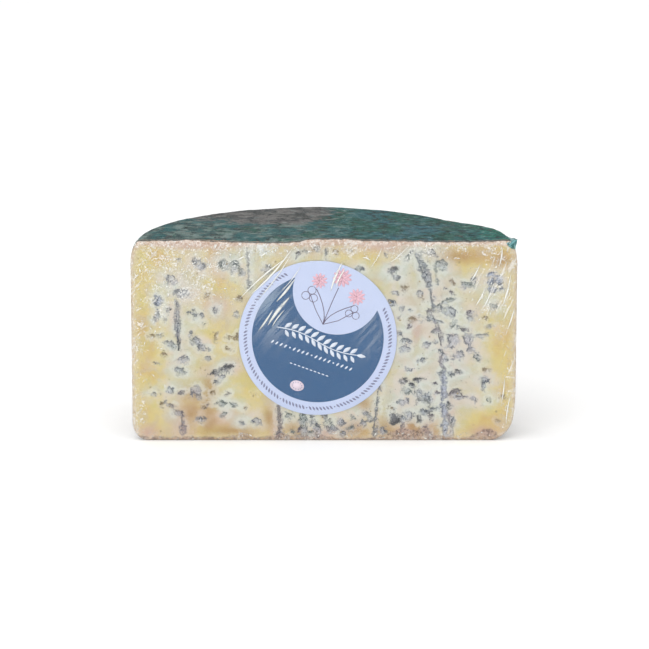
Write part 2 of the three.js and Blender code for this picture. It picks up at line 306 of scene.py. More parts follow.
# The posy: where its stems meet, and along and above the lines and the size of each head and leaf.
POSY_FOOT = (PALE_FIELD_ACROSS - 1, PALE_FIELD_UP - 19)
BLOSSOMS = [(-9.5, 29, 4.6), (1, 34.5, 5.6), (11.5, 27.5, 5.0)]
CLOVER_LEAVES = [(-11.5, 20.5, 3.4), (12.5, 19, 3.0)]
STEM_WIDTH, STALK_WIDTH, OUTLINE_WIDTH = 0.38, 0.34, 0.3
# The branch, and the rows under it: how many, how far apart, and where the first one is.
BRANCH_LENGTH, BRANCH_STEPS, BRANCH_UP, BRANCH_SWAY, BRANCH_WIDTH = 44, 12, -1.6, 1.4, 0.5
SEEDS, SEED_PITCH, SEED_ACROSS, SEED_UP = 19, 2.4, -21.5, -9.6
DASHES, DASH_PITCH, DASH_ACROSS, DASH_UP = 10, 2.2, -8.5, -17.2
# The ring of leaves, with a dot at the middle of each group: degrees from the end of the print lines.
RING_MARKS, RING_START, RING_END, RING_GROUP, RING_LEAN = 96, 136, 404, 8, 34
# The oval: its middle, length, width and turn, and how far out its dots are.
OVAL_ACROSS, OVAL_UP = -1.5, -27.5
OVAL_LENGTH, OVAL_WIDTH, OVAL_TURN = 7.5, 5.6, 4
DOTS_ACROSS, DOTS_UP = 2.6, 1.8

# The studio, in metres and watts. Each lamp has its place, width, height and power.
FLOOR_SIZE, FLOOR_DROP = 4000, 0.02  # in millimetres
LIT_MIDDLE = (0, 0, 0.05)
LAMPS = {
    "front_softbox": ((-0.5, -1.6, 0.9), 1.1, 0.9, 3),
    "glint_low_left": ((-0.5, -1.3, 0.12), 0.06, 0.06, 0.7),
    "glint_high_left": ((-0.7, -1.1, 0.8), 0.06, 0.06, 0.7),
    "glint_right": ((0.55, -1.2, 0.5), 0.06, 0.06, 0.6),
    "back_strip": ((-0.9, 1.2, 0.7), 0.15, 0.9, 2.5),
    "side_strip": ((1.5, 0.4, 0.6), 0.15, 0.9, 2),
}
DAYLIGHT_FROM, DAYLIGHT_STRENGTH, DAYLIGHT_SOFTNESS = (-0.4, -0.9, 2.0), 1.25, math.radians(70)
ROOM_STRENGTH = 0.62
CAMERA_LENS, CAMERA_SENSOR = 171.0, 36
CAMERA_ELEVATION, CAMERA_DISTANCE = math.radians(13.0), 1.6
CAMERA_HEIGHT = 0.0535  # of the point that it looks down on from that distance
CAMERA_AIM = (0.0003, 0, 0.0086)  # from that point to the middle of the picture


def paint(red, green, blue):
    """A colour given as screen values from 0 to 255."""
    def linear(value):
        share = value / 255
        return share / 12.92 if share <= 0.04045 else ((share + 0.055) / 1.055) ** 2.4
    return (linear(red), linear(green), linear(blue), 1.0)


class Socket:
    """A shader socket that takes part in sums: each operator adds its Math node to the finish."""

    def __init__(self, finish, socket):
        self.finish = finish
        self.socket = socket

    def __add__(self, other):
        return self.finish.math("ADD", self, other)

    def __sub__(self, other):
        return self.finish.math("SUBTRACT", self, other)

    def __rsub__(self, other):
        return self.finish.math("SUBTRACT", other, self)

    def __mul__(self, other):
        return self.finish.math("MULTIPLY", self, other)

    def __pow__(self, other):
        return self.finish.math("POWER", self, other)

    __radd__ = __add__
    __rmul__ = __mul__


class Finish:
    """A material in the making. node() adds any node, and all else here is a shorthand for it."""

    def __init__(self, name):
        self.material = bpy.data.materials.new(name)
        self.material.use_nodes = True
        self.tree = self.material.node_tree
        self.tree.nodes.clear()

    def node(self, kind, settings=None, sockets=None, output=0):
        made = self.tree.nodes.new("ShaderNode" + kind)
        for key, value in (settings or {}).items():
            setattr(made, key, value)
        for key, value in (sockets or {}).items():
            if isinstance(value, Socket):
                self.tree.links.new(value.socket, made.inputs[key])
            else:
                made.inputs[key].default_value = value
        return Socket(self, made.outputs[output]) if made.outputs else None

    def math(self, operation, *values):
        return self.node("Math", {"operation": operation}, dict(enumerate(values)))

    def place(self):
        """Where a point is on the object, in millimetres."""
        coordinates = self.node("TexCoord", output="Object")
        return self.node("VectorMath", {"operation": "SCALE"}, {0: coordinates, "Scale": 1 / MM})

    def attribute(self, name, output="Fac"):
        return self.node("Attribute", {"attribute_name": name}, None, output)

    def principled(self, **sockets):
        named = {key.replace("_", " "): value for key, value in sockets.items()}
        return self.node("BsdfPrincipled", None, named)

    def clear(self, red, green, blue):
        return self.node("BsdfTransparent", None, {"Color": (red, green, blue, 1)})

    def blend(self, factor, first, second):
        """One shader laid over another."""
        return self.node("MixShader", None, {0: factor, 1: first, 2: second})

    def surface(self, shader):
        self.node("OutputMaterial", None, {"Surface": shader})
        return self.material


def turned(place, degrees, stretch=1, centre=(0, 0, 0)):
    """Coordinates whose first axis climbs by some degrees on the cut and is stretched along itself."""
    return place.finish.node("Mapping", {"vector_type": "TEXTURE"}, {
        "Vector": place, "Location": centre, "Rotation": (0, math.radians(-degrees), 0),
        "Scale": (stretch, 1, 1),
    })


def axis(place, letter):
    return place.finish.node("SeparateXYZ", None, {0: place}, letter)


def noise(place, size, detail=2.0, distortion=0.0, roughness=0.5):
    """Cloudy noise from 0 to 1, whose clouds are about `size` mm wide."""
    return place.finish.node("TexNoise", None, {
        "Vector": place, "Scale": 1 / size, "Detail": detail, "Distortion": distortion,
        "Roughness": roughness,
    })


def ramp(value, start, end):
    """0 up to the start and 1 from the end on, with a soft rise between them."""
    sockets = {"Value": value, "From Min": start, "From Max": end}
    return value.finish.node("MapRange", {"interpolation_type": "SMOOTHSTEP"}, sockets)


def band(value, middle, half_width):
    """1 at the middle, falling to 0 at half a width on either side."""
    away = value.finish.math("ABSOLUTE", value - middle)
    return ramp(away, half_width, half_width * 0.3)


def most(first, *others):
    """The highest of some values."""
    for other in others:
        first = first.finish.math("MAXIMUM", first, other)
    return first


def mix(factor, first, second):
    """A colour laid over another. Three numbers are screen values and four are a linear colour."""
    finish = next(item.finish for item in (factor, first, second) if isinstance(item, Socket))
    first, second = (
        paint(*colour) if isinstance(colour, tuple) and len(colour) == 3 else colour
        for colour in (first, second)
    )
    return finish.node("Mix", {"data_type": "RGBA"}, {"Factor": factor, 6: first, 7: second}, output=2)


def coated(colour, *coats):
    """A colour under coats, each laid where its value rises: value, start, end, strength and colour."""
    for value, start, end, strength, coat in coats:
        colour = mix(ramp(value, start, end) * strength, colour, coat)
    return colour


def bump(height, distance):
    """A normal bent by a height from 0 to 1 that stands for `distance` mm."""
    sockets = {"Height": height, "Distance": distance * MM, "Strength": 1.0}
    return height.finish.node("Bump", None, sockets)


def paste_finish():
    """Ivory to straw paste with mould pockets, and the thin line of rind round its outline."""
    finish = Finish("paste_finish")
    place = finish.place()
    mould, fill, cover, halo, tone, rim, crown, pink, brown = map(
        finish.attribute, ("mould", "fill", "cover", "halo", "tone", "rim", "crown", "pink", "brown"),
    )
    # Painted shade: each pocket is darker on one side, mostly its upper one, as a hollow's shade falls, and
    # its mould is denser there.
    shade_and_mould_side = ramp(finish.attribute("shade_and_mould_side"), -0.5, 0.6)

    cloud = noise(place, 14, 3)
    patchy = noise(place, 9, 3, distortion=0.6)
    fine_cloud = noise(place, 3.5, 4, roughness=0.6)
    grain = noise(place, 0.9, 3)
    streaky = noise(turned(place, 84, 4), 5, 3)
    uneven = (cloud - 0.5) * 1.3 + (fine_cloud - 0.5) * 0.6 + (streaky - 0.5) * 0.6
    mottle = ramp(grain, 0.35, 0.75)
    paste = coated(
        mix(ramp(tone + uneven, -0.5, 0.6), (192, 186, 164), (205, 186, 115)),
        (tone + uneven * 0.8, 0.45, 1.0, 0.8, (194, 157, 92)),
        (patchy, 0.54, 0.66, 0.45, (186, 168, 140)),
        (patchy, 0.46, 0.36, 0.45, (190, 180, 110)),
    )
    paste = mix(mottle * 0.16, paste, (176, 164, 128))

    # Each growth has turned the paste round it pale, warmer here and greener there.
    marbled = noise(place, 2.6, 3, distortion=1.2)
    reach = halo * (patchy * 1.4 + 0.3) + (fine_cloud - 0.5) * 0.7
    reach = reach + (marbled - 0.5) * 0.5 + (cloud - 0.5) * 0.5
    hue = noise(place, 11, 3, distortion=0.5)
    bleached = mix(ramp(hue, 0.36, 0.64), (208, 198, 190), (190, 200, 192))
    paste = coated(paste, (reach, 0.0, 1.1, 0.74, bleached))
    growing = ramp(reach, 0.3, 1.0)
    paste = mix(pink * (1 - growing * 0.6), paste, (190, 154, 142))
    paste = mix(brown * (1 - growing * 0.3), paste, (162, 124, 68))

    # Each growth is a soft wash of its tint inside a paler collar.
    ragged = noise(place, 1.8, 4, distortion=0.8, roughness=0.7)
    lobes = noise(place, 4.4, 2, distortion=0.8)
    spots = noise(place, 1.5, 3, distortion=0.8)
    edge = mould + 0.45 + ((ragged - 0.5) * 5.5 + (lobes - 0.5) * 5.5) * (1 - fill * 0.25)
    collar = band(edge, 1.6, 1.6) * ramp(mould, 6, 2)
    paste = mix(collar * ramp(hue, 0.4, 0.6) * 0.35, paste, (216, 216, 212))
    tint = finish.attribute("mould_tint", "Color")
    # The wash stays darker on the side of painted shade.
    washed = mix(0.7 - fill * shade_and_mould_side * 0.5, tint, (204, 209, 222))
    paste = mix(ramp(edge + (spots - 0.5) * 3.0, 1.7, -1.4) * cover, paste, washed)

    # Over the wash: a broken dark rim, curled strokes, blots, freckles and a dense core. Along a
    # needle channel runs a fine dark trace.
    # The rim, blots and core are darkest on the side of painted shade.
    broken = ramp(noise(place, 3.2, 3, distortion=0.6), 0.5, 0.6)
    curls = noise(place, 3.0, 3, distortion=2.2)
    rim_line = band(edge, 0.2, 0.6) * most(broken * 0.6, shade_and_mould_side)
    strokes = band(curls, 0.5, 0.05) * ramp(edge, 1.8, -0.2)
    blots = ramp(spots + shade_and_mould_side * (0.04 + fill * 0.16), 0.62, 0.7) * ramp(edge, 0.7, -0.2)
    freckles = ramp(noise(place, 1.3, 2), 0.69, 0.76) * ramp(halo, 0.2, 0.7)
    core = ramp(edge + (spots - 0.5) * 12.0, 0.4, -2.0) * ramp(fill, 0.4, 1.0)
    solid = most(shade_and_mould_side, ramp(fill, 0.85, 1.0) * 0.75)
    wander = finish.attribute("trace_side") + (fine_cloud - 0.5) * 2.4
    trace = band(wander, 0.0, 0.6) * finish.attribute("trace")
    dark = most(
        rim_line * 0.8, strokes * (0.45 + fill * 0.4), blots * 0.95, freckles * 0.5,
        core * solid * 0.95, trace * ramp(spots, 0.36, 0.52),
    )
    ink = mix(0.88, tint, mix(ramp(fill, 0.7, 1.0) * 0.6, (26, 31, 42), (10, 13, 18)))
    paste = mix(dark, paste, mix(0.35 + fill * 0.3 + grain * 0.5, tint, ink))

    # Specks, each in a cell of its own and of its own size.
    cells = {"Vector": place, "Scale": 1 / 5.0}
    speck_away = finish.node("TexVoronoi", None, cells)
    speck_kind = finish.node("SeparateColor", None, {
        "Color": finish.node("TexVoronoi", None, cells, "Color"),
    })
    speck_edge = speck_away + (grain - 0.5) * 0.14 - (speck_kind * 0.26 - 0.12)
    paste = coated(paste, (speck_edge, 0.02, -0.03, 0.7, (146, 128, 84)))

    # The outline: pinkish crust all round, with the mould's dark line along the crown.
    dried = rim + (fine_cloud - 0.5) * 5.0 + (patchy - 0.5) * 5.0
    paste = coated(paste, (dried, 5.0, 0.5, 0.4, (206, 194, 176)))
    ragged_rim = rim + (fine_cloud - 0.5) * 4.0 + (patchy - 0.5) * 4.0
    rind_line = ramp(ragged_rim - crown * 2.4, 2.2, 0.0)
    rind_tone = mix(ramp(marbled, 0.4, 0.62), (182, 148, 128), (222, 206, 196))
    paste = mix(rind_line * (0.5 + crown * 0.3), paste, rind_tone)
    outer_line = ramp(rim + (fine_cloud - 0.5) * 1.6, 0.8, 0.2) * crown
    paste = mix(outer_line * 0.95, paste, (40, 52, 50))
    foot = finish.attribute("foot") + (fine_cloud - 0.5) * 2.0 + (lobes - 0.5) * 1.4
    foot_tone = mix(ramp(marbled, 0.4, 0.6), (164, 134, 102), (150, 128, 116))
    foot_tone = mix(pink * 0.6, foot_tone, (190, 164, 156))
    foot_tone = coated(foot_tone, (spots, 0.54, 0.38, 0.9, (80, 58, 56)))
    paste = coated(paste, (foot, 0.35, 1.0, 0.8, foot_tone))

    relief = fine_cloud * 0.5 + grain * 0.25 - dark * 0.4
    return finish.surface(finish.principled(
        Base_Color=paste, Roughness=0.42 + mottle * 0.15, Normal=bump(relief, 0.35),
    ))


def rind_finish():
    """Green-grey mould on the top, pinkish beige crust with blue-grey bloom on the wall."""
    finish = Finish("rind_finish")
    place = finish.place()
    tufts = noise(place, 4.0, 5, distortion=0.3, roughness=0.7)
    fuzz = noise(place, 1.4, 3, roughness=0.7)
    furry = (tufts - 0.5) * 0.45 + (fuzz - 0.5) * 0.3
    frost_and_glints = tufts + (fuzz - 0.5) * 0.3
    growth = noise(place, 9, 5, distortion=0.5, roughness=0.6) + furry * 0.7
    hues = noise(place, 15, 3, distortion=0.5) + furry
    patches = noise(place, 24, 3, distortion=0.4) + furry

    east, far_east = finish.attribute("east"), finish.attribute("far_east")
    moss = coated(
        mix(ramp(growth, 0.42, 0.58), (50, 74, 74), (108, 128, 122)),
        (hues + east * 0.16, 0.5, 0.58, 0.8, (22, 94, 96)),
        (hues - east * 0.2, 0.44, 0.36, 0.85, (6, 86, 72)),
        (growth - east * 0.04, 0.56, 0.64, 0.38, (128, 148, 146)),
    )
    moss = mix(ramp(patches, 0.46, 0.56) * ramp(east, 0.4, 0.8) * 0.55, moss, (44, 104, 124))
    moss = mix(far_east * ramp(tufts, 0.4, 0.6) * 0.7, moss, (20, 124, 98))
    brown = finish.attribute("brown_patch") + (growth - 0.5) * 1.4 + (patches - 0.5) * 1.2
    dusty = mix(ramp(growth, 0.4, 0.6), (74, 72, 72), (116, 110, 108))
    moss = coated(
        moss,
        (brown, 0.3, 0.66, 0.88, dusty),
        (tufts - east * 0.05, 0.46, 0.37, 0.85, (12, 30, 32)),
        # Pale specks: white mould, and on the top also painted glints of the film.
        (frost_and_glints, 0.58, 0.68, 0.5, (150, 168, 166)),
    )
    crust = coated(
        mix(ramp(patches, 0.38, 0.62), (188, 166, 142), (148, 124, 108)),
        (growth, 0.47, 0.6, 0.8, (130, 140, 132)),
        (hues, 0.56, 0.64, 0.55, (92, 112, 108)),
        (frost_and_glints, 0.56, 0.68, 0.5, (224, 216, 202)),
        (tufts, 0.45, 0.36, 0.75, (96, 78, 68)),
        (fuzz, 0.4, 0.3, 0.4, (120, 104, 92)),
    )
    spilled = (growth - 0.5) * 2.0 + (hues - 0.5) + (tufts - 0.5) * 0.8
    cover = ramp(finish.attribute("top") + spilled, 0.24, 0.8)
    relief = fuzz * 0.4 + tufts * 0.8 + growth * 0.5
    return finish.surface(finish.principled(
        Base_Color=mix(cover, crust, moss), Roughness=0.62 + fuzz * 0.2, Specular_IOR_Level=0.2,
        Normal=bump(relief, 1.4),
    ))


def film_finish():
    """Clear stretch film: nearly invisible where it lies flat, with a true mirror sheen; where it crinkles
    and folds, painted highlights and painted reflections in white.
    """
    finish = Finish("film_finish")
    place = finish.place()
    crinkled, lean, fold, veiled, wall = map(
        finish.attribute, ("crinkled", "lean", "fold", "veil", "wall"),
    )

    def leaning(left, right):
        """A pattern that changes from one to another towards the right of the cut."""
        return left * (1 - lean) + right * lean

    run = leaning(
        noise(turned(place, 47, 5), 1.3, 3, distortion=0.3),
        noise(turned(place, 68, 9), 1.8, 2, distortion=0.2),
    )
    sweep = leaning(noise(turned(place, 49, 12), 2.4, 2), noise(turned(place, 88, 14), 2.4, 2))
    shards = noise(place, 0.85, 3, distortion=0.9)
    clusters = noise(place, 6, 3)
    waves = noise(turned(place, 80, 5), 9, 2)
    height = run * (0.25 + crinkled * 0.4) + shards * crinkled * 0.6 + waves * 0.6
    normal = bump(height, 0.9)
    facing = finish.node("LayerWeight", None, {"Blend": 0.3, "Normal": normal}, "Facing")
    mirror = finish.principled(
        Base_Color=(0.97, 0.98, 0.99, 1), Metallic=1.0, Roughness=0.14, Normal=normal,
    )
    sheen = 0.03 + facing ** 3 * 0.03 + crinkled * 0.06 + fold * 0.12 + wall * 0.07
    smooth = finish.blend(sheen, finish.clear(0.985, 0.99, 0.99), mirror)

    # Painted highlights in a dull white shader laid over the clear film: flecks and ridges where it
    # crinkles, painted reflections in bluish white, and lines along its folds.
    density = (clusters - 0.5) * 0.5 + crinkled * 0.17
    painted_fleck_glints = ramp(shards + density, 0.68, 0.76) * ramp(crinkled, 0.02, 0.4)
    painted_ridge_glints = ramp(run + density * 0.4, 0.64, 0.72) * ramp(crinkled, 0.1, 0.5)
    veil = veiled * (0.03 + ramp(sweep, 0.46, 0.6) * 0.26)
    folded = ramp(fold + (clusters - 0.5) * 0.9 + (shards - 0.5) * 0.9, 0.62, 1.05)
    painted_glint_white = finish.principled(
        Base_Color=mix(veiled, (0.97, 0.96, 0.91, 1), (0.72, 0.88, 1.0, 1)),
        Roughness=0.3, Specular_IOR_Level=0.7, Normal=normal,
    )
    painted_highlight = most(painted_fleck_glints * 0.62, painted_ridge_glints * 0.5, veil, folded * 0.3)
    return finish.surface(finish.blend(painted_highlight, smooth, painted_glint_white))


def glint_finish():
    """A crease of the film, its highlight painted as a semi-clear white."""
    finish = Finish("glint_finish")
    thick = noise(finish.place(), 7, 2)
    painted_glint_white = finish.principled(
        Base_Color=(0.97, 0.98, 0.93, 1), Roughness=0.25, Specular_IOR_Level=0.8,
        Normal=bump(thick, 0.2),
    )
    factor = ramp(thick, 0.3, 0.55) * 0.4 + 0.35
    return finish.surface(finish.blend(factor, finish.clear(0.99, 0.99, 0.99), painted_glint_white))


def ear_finish():
    """The film's gathered corner, doubled, painted in the rind's teal that it reflects: a painted
    reflection.
    """
    finish = Finish("ear_finish")
    place = finish.place()
    fold = noise(turned(place, 60, 4), 1.0, 2)
    colour = mix(ramp(fold, 0.4, 0.62), (26, 108, 110), (120, 178, 182))
    gathered = finish.principled(Base_Color=colour, Roughness=0.2, Normal=bump(fold, 0.3))
    factor = (0.6 + fold * 0.3) * (0.4 + ramp(axis(place, "Z"), 102.5, 105.5) * 0.6)
    return finish.surface(finish.blend(factor, finish.clear(0.8, 0.95, 0.95), gathered))


def label_finish():
    """Coated paper: a pale lilac ring and disc, and a slate blue field between them."""
    finish = Finish("label_finish")
    place = finish.place()
    local = turned(place, -PRINT_TILT, centre=(LABEL_ACROSS, CUT, LABEL_UP))
    across, up = axis(local, "X"), axis(local, "Z")

    def within(middle_across, middle_up, radius):
        sides = (across - middle_across) ** 2 + (up - middle_up) ** 2
        return ramp(sides ** 0.5, radius + PRINT_EDGE, radius - PRINT_EDGE)

    pale_field = within(PALE_FIELD_ACROSS, PALE_FIELD_UP, PALE_FIELD_RADIUS)
    dark_field = within(0, 0, DARK_FIELD_RADIUS) * (1 - pale_field)
    fibres = noise(place, 0.7, 4)
    wash = noise(place, 16, 2)
    pale = mix(wash, (186, 197, 226), (198, 207, 234))
    slate = mix(wash, (34, 80, 124), (44, 90, 134))
    ink = coated(mix(dark_field, pale, slate), (fibres, 0.5, 0.8, 0.12, (190, 198, 210)))
    return finish.surface(finish.principled(
        Base_Color=ink, Specular_IOR_Level=0.3, Roughness=0.38 + fibres * 0.12,
        Normal=bump(fibres, 0.03),
    ))


def ink_finish(name, colour, worn):
    """Printing ink, a little uneven where the paper's fibres show through."""
    finish = Finish(name)
    fibres = noise(finish.place(), 0.8, 4)
    ink = mix(ramp(fibres, 0.45, 0.8) * 0.25, colour, worn)
    return finish.surface(finish.principled(Base_Color=ink, Roughness=0.4 + fibres * 0.1))


def floor_finish():
    finish = Finish("floor_finish")
    colour = mix(noise(finish.place(), 180, 2), (0.96, 0.96, 0.96, 1), (0.98, 0.98, 0.98, 1))
    return finish.surface(finish.principled(
        Base_Color=colour, Roughness=0.7, Emission_Color=(1, 1, 1, 1), Emission_Strength=0.08,
    ))


def ways(degrees):
    """How far a step of 1 at that angle goes along and up."""
    return math.cos(math.radians(degrees)), math.sin(math.radians(degrees))


def on_circle(across, up, radius, degrees):
    """A point of a circle round a middle."""
    along, above = ways(degrees)
    return across + radius * along, up + radius * above


def mesh_of(shape, name):
    """The bmesh as a mesh, with its faces turned outwards."""
    bmesh.ops.recalc_face_normals(shape, faces=shape.faces)
    mesh = bpy.data.meshes.new(name)
    shape.to_mesh(mesh)
    shape.free()
    return mesh


def vertex_vectors(mesh, key="co"):
    """Each vertex's place, or its normal."""
    vectors = np.empty(len(mesh.vertices) * 3, np.float32)
    mesh.vertices.foreach_get(key, vectors)
    return vectors.reshape(-1, 3).astype(float)


def set_places(mesh, places):
    mesh.vertices.foreach_set("co", places.astype(np.float32).ravel())
    mesh.update()


def placed(name, thing):
    """A new object that holds a mesh, a lamp or a camera."""
    made = bpy.data.objects.new(name, thing)
    bpy.context.scene.collection.objects.link(made)
    return made


def finished(name, mesh, finishes):
    """A piece in metres, smooth, riding on the one body."""
    set_places(mesh, vertex_vectors(mesh) * MM)
    for finish in finishes:
        mesh.materials.append(finish)
    mesh.shade_smooth()
    piece = placed(name, mesh)
    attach(piece, "root")
    return piece


def add_attributes(mesh, **attributes):
    for name, values in attributes.items():
        layer = mesh.attributes.new(name, "FLOAT", "POINT")
        layer.data.foreach_set("value", values.astype(np.float32))


def rise(values, start, end):
    """0 up to the start and 1 from the end on, with a soft rise between them."""
    share = np.clip((values - start) / (end - start), 0, 1)
    return share * share * (3 - 2 * share)


def hump(values, middle, half_width):
    """1 at the middle and 0 from its half width outwards, with soft ends."""
    away = np.minimum(1, np.abs(values - middle) / half_width)
    return 0.5 + 0.5 * np.cos(np.pi * away)


def spread(across, up, x, z, width, height):
    """A soft spot of that width and height, 1 at its middle."""
    return np.exp(-2.5 * (((across - x) / width) ** 2 + ((up - z) / height) ** 2))


def clouds(places, size, seed=0.0):
    """Cloudy values from about -1 to 1 at each place, with clouds about `size` mm wide."""
    shift = Vector((seed, seed * 1.7, seed * 0.6))
    return np.array([swirl(Vector(place) / size + shift) for place in places])


def settle(places):
    """Moves points of the true wheel to where the ripened one has them."""
    angle = np.arctan2(places[:, 1], places[:, 0])
    radius = np.hypot(places[:, 0], places[:, 1])
    height = places[:, 2]
    wave = 0.6 * np.sin(SLOW_WAVE * angle) + 0.4 * np.sin(QUICK_WAVE * angle + height / 30)
    swell = WALL_SWELL * np.sin(angle) ** 2 * wave
    rightward = np.maximum(0, np.cos(angle))
    tuck = FOOT_TUCK * np.maximum(0, 1 - height / FOOT_TUCK_HEIGHT) ** 2 * rightward
    wear = HEEL_WEAR * np.maximum(0, 1 - height / HEEL_WEAR_HEIGHT) ** 2 * rightward ** 2
    scale = 1 + (swell - tuck - wear) / RADIUS
    sag = SHOULDER_SAG * hump(angle, SHOULDER_ANGLE, SHOULDER_HALF_WIDTH)
    sag += BACK_SLACK * hump(angle, BACK_SLACK_ANGLE, BACK_SLACK_HALF_WIDTH)
    near_rim = rise(radius, RADIUS - SAG_REACH, RADIUS)
    near_top = rise(height, HEIGHT / 2, HEIGHT)
    settled = places.copy()
    settled[:, 0] *= scale
    settled[:, 1] *= scale
    settled[:, 2] -= sag * near_rim * near_top
    return settled


def side_profile(share):
    """The radius and height of the wheel's side, at shares of the way from its base to its top."""
    base_arc = math.pi / 2 * math.hypot(BASE_RIM_INWARD, BASE_RIM_UP) / math.sqrt(2)
    wall = HEIGHT - BASE_RIM_UP - TOP_RIM_DOWN
    top_arc = math.pi / 2 * math.hypot(TOP_RIM_INWARD, TOP_RIM_DOWN) / math.sqrt(2)
    travel = share * (base_arc + wall + top_arc)
    base_turn = np.clip(travel / base_arc, 0, 1) * np.pi / 2
    up_wall = np.clip(travel - base_arc, 0, wall)
    top_turn = np.clip((travel - base_arc - wall) / top_arc, 0, 1) * np.pi / 2
    radius = RADIUS - BASE_RIM_INWARD * (1 - np.sin(base_turn))
    radius -= TOP_RIM_INWARD * (1 - np.cos(top_turn))
    height = BASE_RIM_UP * (1 - np.cos(base_turn)) + up_wall + TOP_RIM_DOWN * np.sin(top_turn)
    return radius, height


def gridded_block(*cells):
    """A unit block cut into cells along its three directions."""
    block = bmesh.new()
    bmesh.ops.create_cube(block, size=1)
    for way, count in enumerate(cells):
        along = [e for e in block.edges if abs(e.verts[0].co[way] - e.verts[1].co[way]) > SAME]
        bmesh.ops.subdivide_edges(block, edges=along, cuts=count - 1, use_grid_fill=True)
    return block


def half_wheel(name, cell, depth_cell):
    """A closed, finely cut half wheel, and which of its points are on the cut."""
    cells = (round(2 * RADIUS / cell), round(RADIUS / depth_cell), round(HEIGHT / cell))
    mesh = mesh_of(gridded_block(*cells), name)
    unit = vertex_vectors(mesh)
    across = 2 * unit[:, 0]
    back = unit[:, 1] + 0.5
    radius, height = side_profile(unit[:, 2] + 0.5)
    places = np.column_stack([
        radius * across * np.sqrt(1 - back ** 2 / 2),
        radius * back * np.sqrt(1 - across ** 2 / 2),
        height,
    ])
    set_places(mesh, settle(places))
    return mesh, back < SAME


def rim_distance(across, up):
    """How far a point of the cut is from its outline."""
    side, levels = side_profile(np.linspace(0, 1, OUTLINE_STEPS))
    right = settle(np.column_stack([side, np.zeros(OUTLINE_STEPS), levels]))[:, 0]
    half_width = np.where(across > 0, np.interp(up, levels, right), np.interp(up, levels, side))
    return np.minimum(half_width - np.abs(across), np.minimum(HEIGHT - up, up))


def scattered_pockets():
    """Small growths strewn over their regions, clear of the outline."""
    draw = random.Random(SCATTER_SEED)
    strewn = []
    for across, up, spread_across, spread_up, count, looks in SCATTERS:
        for _ in range(count):
            x = draw.gauss(across, spread_across / 2)
            z = draw.gauss(up, spread_up / 2)
            width = draw.uniform(1.2, 3.4)
            look = draw.choice(looks)
            turn = draw.uniform(-50, 50)
            height = width * draw.uniform(0.5, 0.9)
            if abs(x) < RADIUS - 5 and 4 < z < HEIGHT - 4:
                strewn.append((look, (x, z, width, height, turn)))
    return strewn


def mould_fields(across, up):
    """For each point of the cut: mm to the nearest growth's edge, that growth's look, and its tint."""
    count = len(across)
    nearest = np.full(count, FAR)
    names = ("fill", "cover", "halo", "shade_and_mould_side", "trace", "trace_side")
    fields = {name: np.zeros(count) for name in names}
    fields["trace_side"] += TRACE_FAR
    tint = np.tile(paint(*LOOKS["slate"].tint), (count, 1))
    draw = random.Random(SIDE_SEED)

    def grow(distance, look, darkness, strength, shade_and_mould_side):
        nonlocal nearest
        closer = distance < nearest
        nearest = np.where(closer, distance, nearest)
        fields["fill"][closer] = darkness
        fields["cover"][closer] = LOOKS[look].cover
        fields["shade_and_mould_side"][closer] = shade_and_mould_side[closer]
        tint[closer] = paint(*LOOKS[look].tint)
        reach = strength * np.exp(-(np.maximum(0, distance) / HALO_REACH) ** 2)
        np.maximum(fields["halo"], reach, out=fields["halo"])

    pockets = [(look, pocket) for look, group in POCKETS.items() for pocket in group]
    for look, pocket in pockets + scattered_pockets():
        x, z, width, height, turn = (*pocket, 0)[:5]
        cos, sin = ways(turn)
        along = ((across - x) * cos + (up - z) * sin) / (width / 2)
        beside = ((up - z) * cos - (across - x) * sin) / (height / 2)
        distance = (np.hypot(along, beside) - 1) * math.sqrt(width * height) / 2
        # The side of painted shade, mostly upwards.
        cos, sin = ways(draw.gauss(100, 70))
        strength = LOOKS[look].halo * min(1.0, width / 3)
        grow(distance, look, LOOKS[look].fill, strength, along * cos + beside * sin)
    for look, darkness, points in CHANNELS:
        for (x, z, width), (x_end, z_end, width_end) in zip(points, points[1:]):
            run = (x_end - x, z_end - z)
            length = math.hypot(*run)
            free_share = ((across - x) * run[0] + (up - z) * run[1]) / length ** 2
            share = np.clip(free_share, 0, 1)
            away = np.hypot(across - x - share * run[0], up - z - share * run[1])
            half_width = (width + (width_end - width) * share) / 2
            grow(away - half_width, look, darkness, CHANNEL_HALO, np.full(count, CHANNEL_SHADE))
            beside = ((across - x) * run[1] - (up - z) * run[0]) / length
            on_run = (np.abs(free_share - 0.5) <= 0.5) & (away < TRACE_REACH)
            fields["trace_side"][on_run] = beside[on_run] - TRACE_SHIFT * half_width[on_run]
            fields["trace"][on_run] = LOOKS[look].trace
    fields["halo"] *= 0.4 + 0.6 * rise(up, 0, 10)
    return nearest, fields, tint


def crown_rise(places):
    """How far each point near the crown's edge along the cut stands above or below it."""
    edge = np.interp(places[:, 0], *zip(*CROWN_EDGE)) + CROWN_CRUMBLE * clouds(places, 4, 2.0)
    near_crown = rise(places[:, 2], HEIGHT - 4, HEIGHT - 0.5)
    return edge * near_crown * rise(-places[:, 1], -7, -1)


